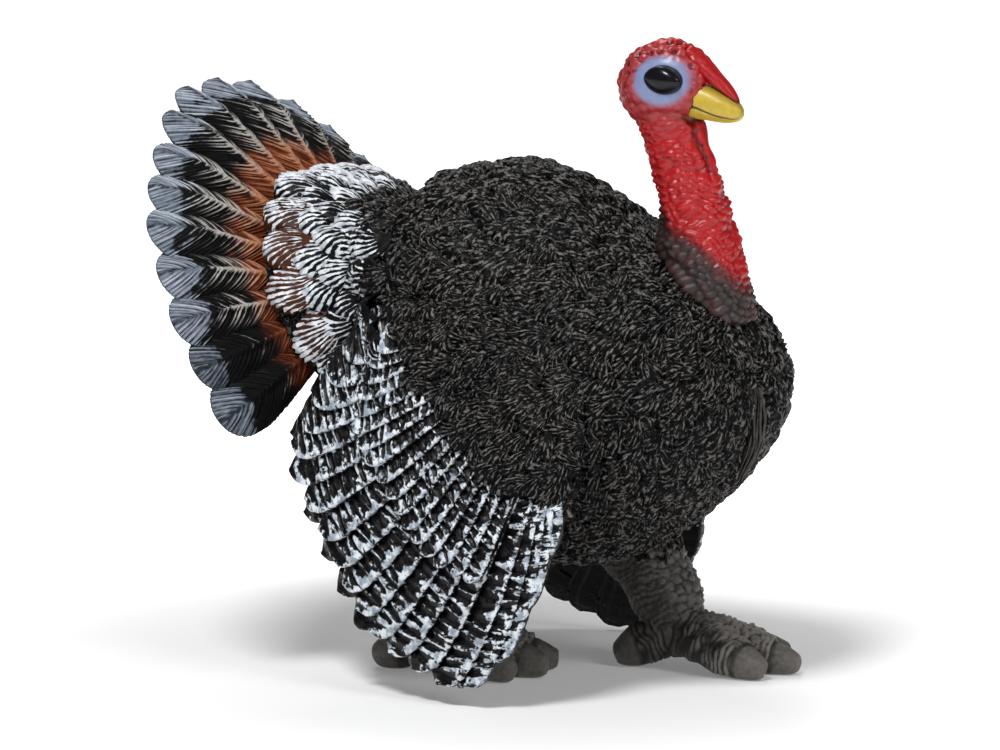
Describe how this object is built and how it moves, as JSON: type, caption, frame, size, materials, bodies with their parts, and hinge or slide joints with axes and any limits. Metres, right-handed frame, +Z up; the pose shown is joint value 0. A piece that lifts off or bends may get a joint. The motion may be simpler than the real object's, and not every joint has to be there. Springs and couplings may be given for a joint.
{
  "type": "turkey figure",
  "caption": "Moulded turkey decoy figure in strut: fanned tail, drooped barred wings, bare red neck, one foot forward.",
  "frame": {"origin": "on the ground, at the bottom centre of the whole figure's bounding box", "axes": "+X from tail to breast, the way the bird faces; +Y to the bird's left; +Z up"},
  "size_m": [0.0644, 0.0538, 0.0634],
  "materials": {
    "body_black": "satin, hand painted",
    "skin_red": "satin, hand painted",
    "snood_red": "satin, hand painted",
    "beak_yellow": "satin, hand painted",
    "eye_black": "gloss",
    "beard_black": "satin",
    "tail_paint": "dry-brushed",
    "covert_white": "dry-brushed",
    "wing_barred": "dry-brushed",
    "leg_grey": "matte"
  },
  "bodies": {
    "root": {"torso_shell_right": "body_black", "torso_shell_left": "body_black", "neck_and_head": "skin_red", "beak": "beak_yellow", "snood": "snood_red", "eye_right": "eye_black", "eye_left": "eye_black", "beard": "beard_black", "tail_fan": "tail_paint", "tail_coverts": "covert_white", "wing_right": "wing_barred", "wing_left": "wing_barred", "leg_right": "leg_grey", "leg_left": "leg_grey"}
  },
  "joints": []
}
